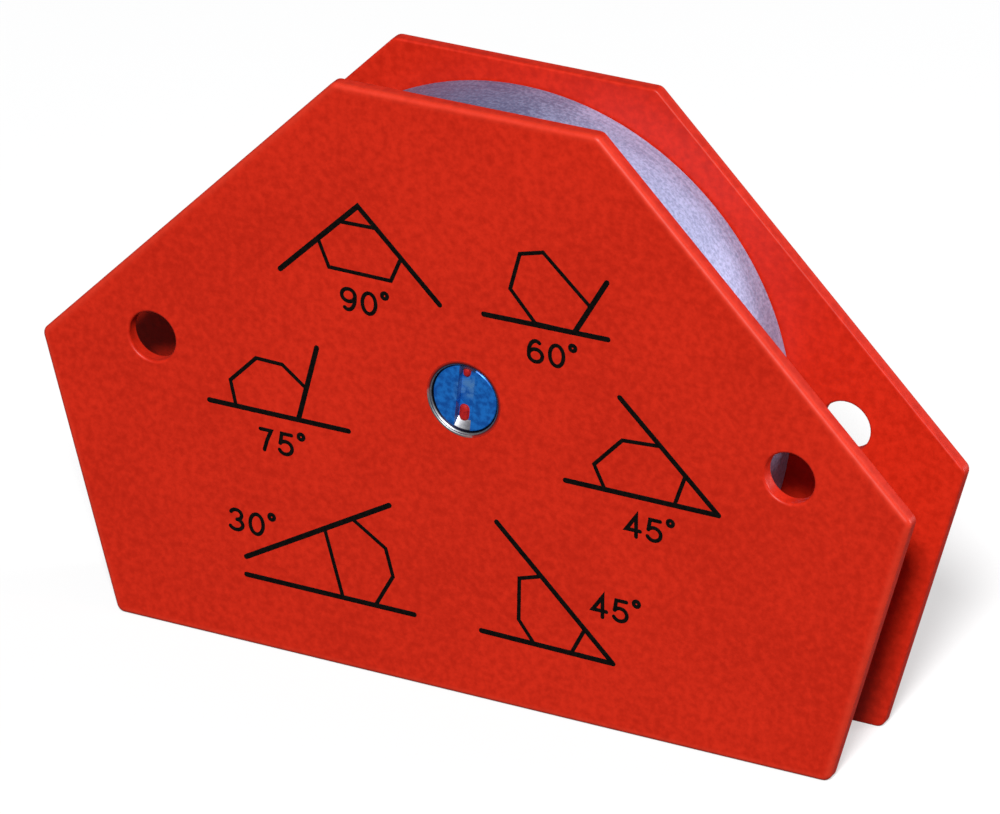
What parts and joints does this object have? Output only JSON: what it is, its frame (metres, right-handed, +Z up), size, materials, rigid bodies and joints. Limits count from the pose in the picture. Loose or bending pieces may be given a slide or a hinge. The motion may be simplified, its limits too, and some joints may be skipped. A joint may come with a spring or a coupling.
{
  "type": "welding magnet holder",
  "caption": "Six-sided magnetic angle holder: two red steel plates clamped on a ring magnet, for holding steel at set angles while welding.",
  "frame": {"origin": "middle of the bottom, between the base edges of the two plates", "axes": "+X along the base edge, -Y out of the face with the screw head, +Z up"},
  "size_m": [0.1294, 0.0196, 0.086],
  "materials": {
    "red_enamel": "satin red stove enamel",
    "ring_metal": "fine matt, lavender grey",
    "ferrite": "dark grey sintered",
    "sleeve_plastic": "natural nylon",
    "tube_brass": "turned",
    "cup_steel": "bright pressed",
    "blue_zinc": "glossy blue chromate",
    "ink_black": "black screen printing ink"
  },
  "bodies": {
    "root": {"front_plate": "red_enamel", "rear_plate": "red_enamel", "guard_ring": "ring_metal", "ring_magnet": "ferrite", "centring_sleeve": "sleeve_plastic", "spacer_tube": "tube_brass", "front_cup": "cup_steel", "rear_cup": "cup_steel", "centre_screw": "blue_zinc", "sleeve_nut": "blue_zinc"}
  },
  "joints": []
}
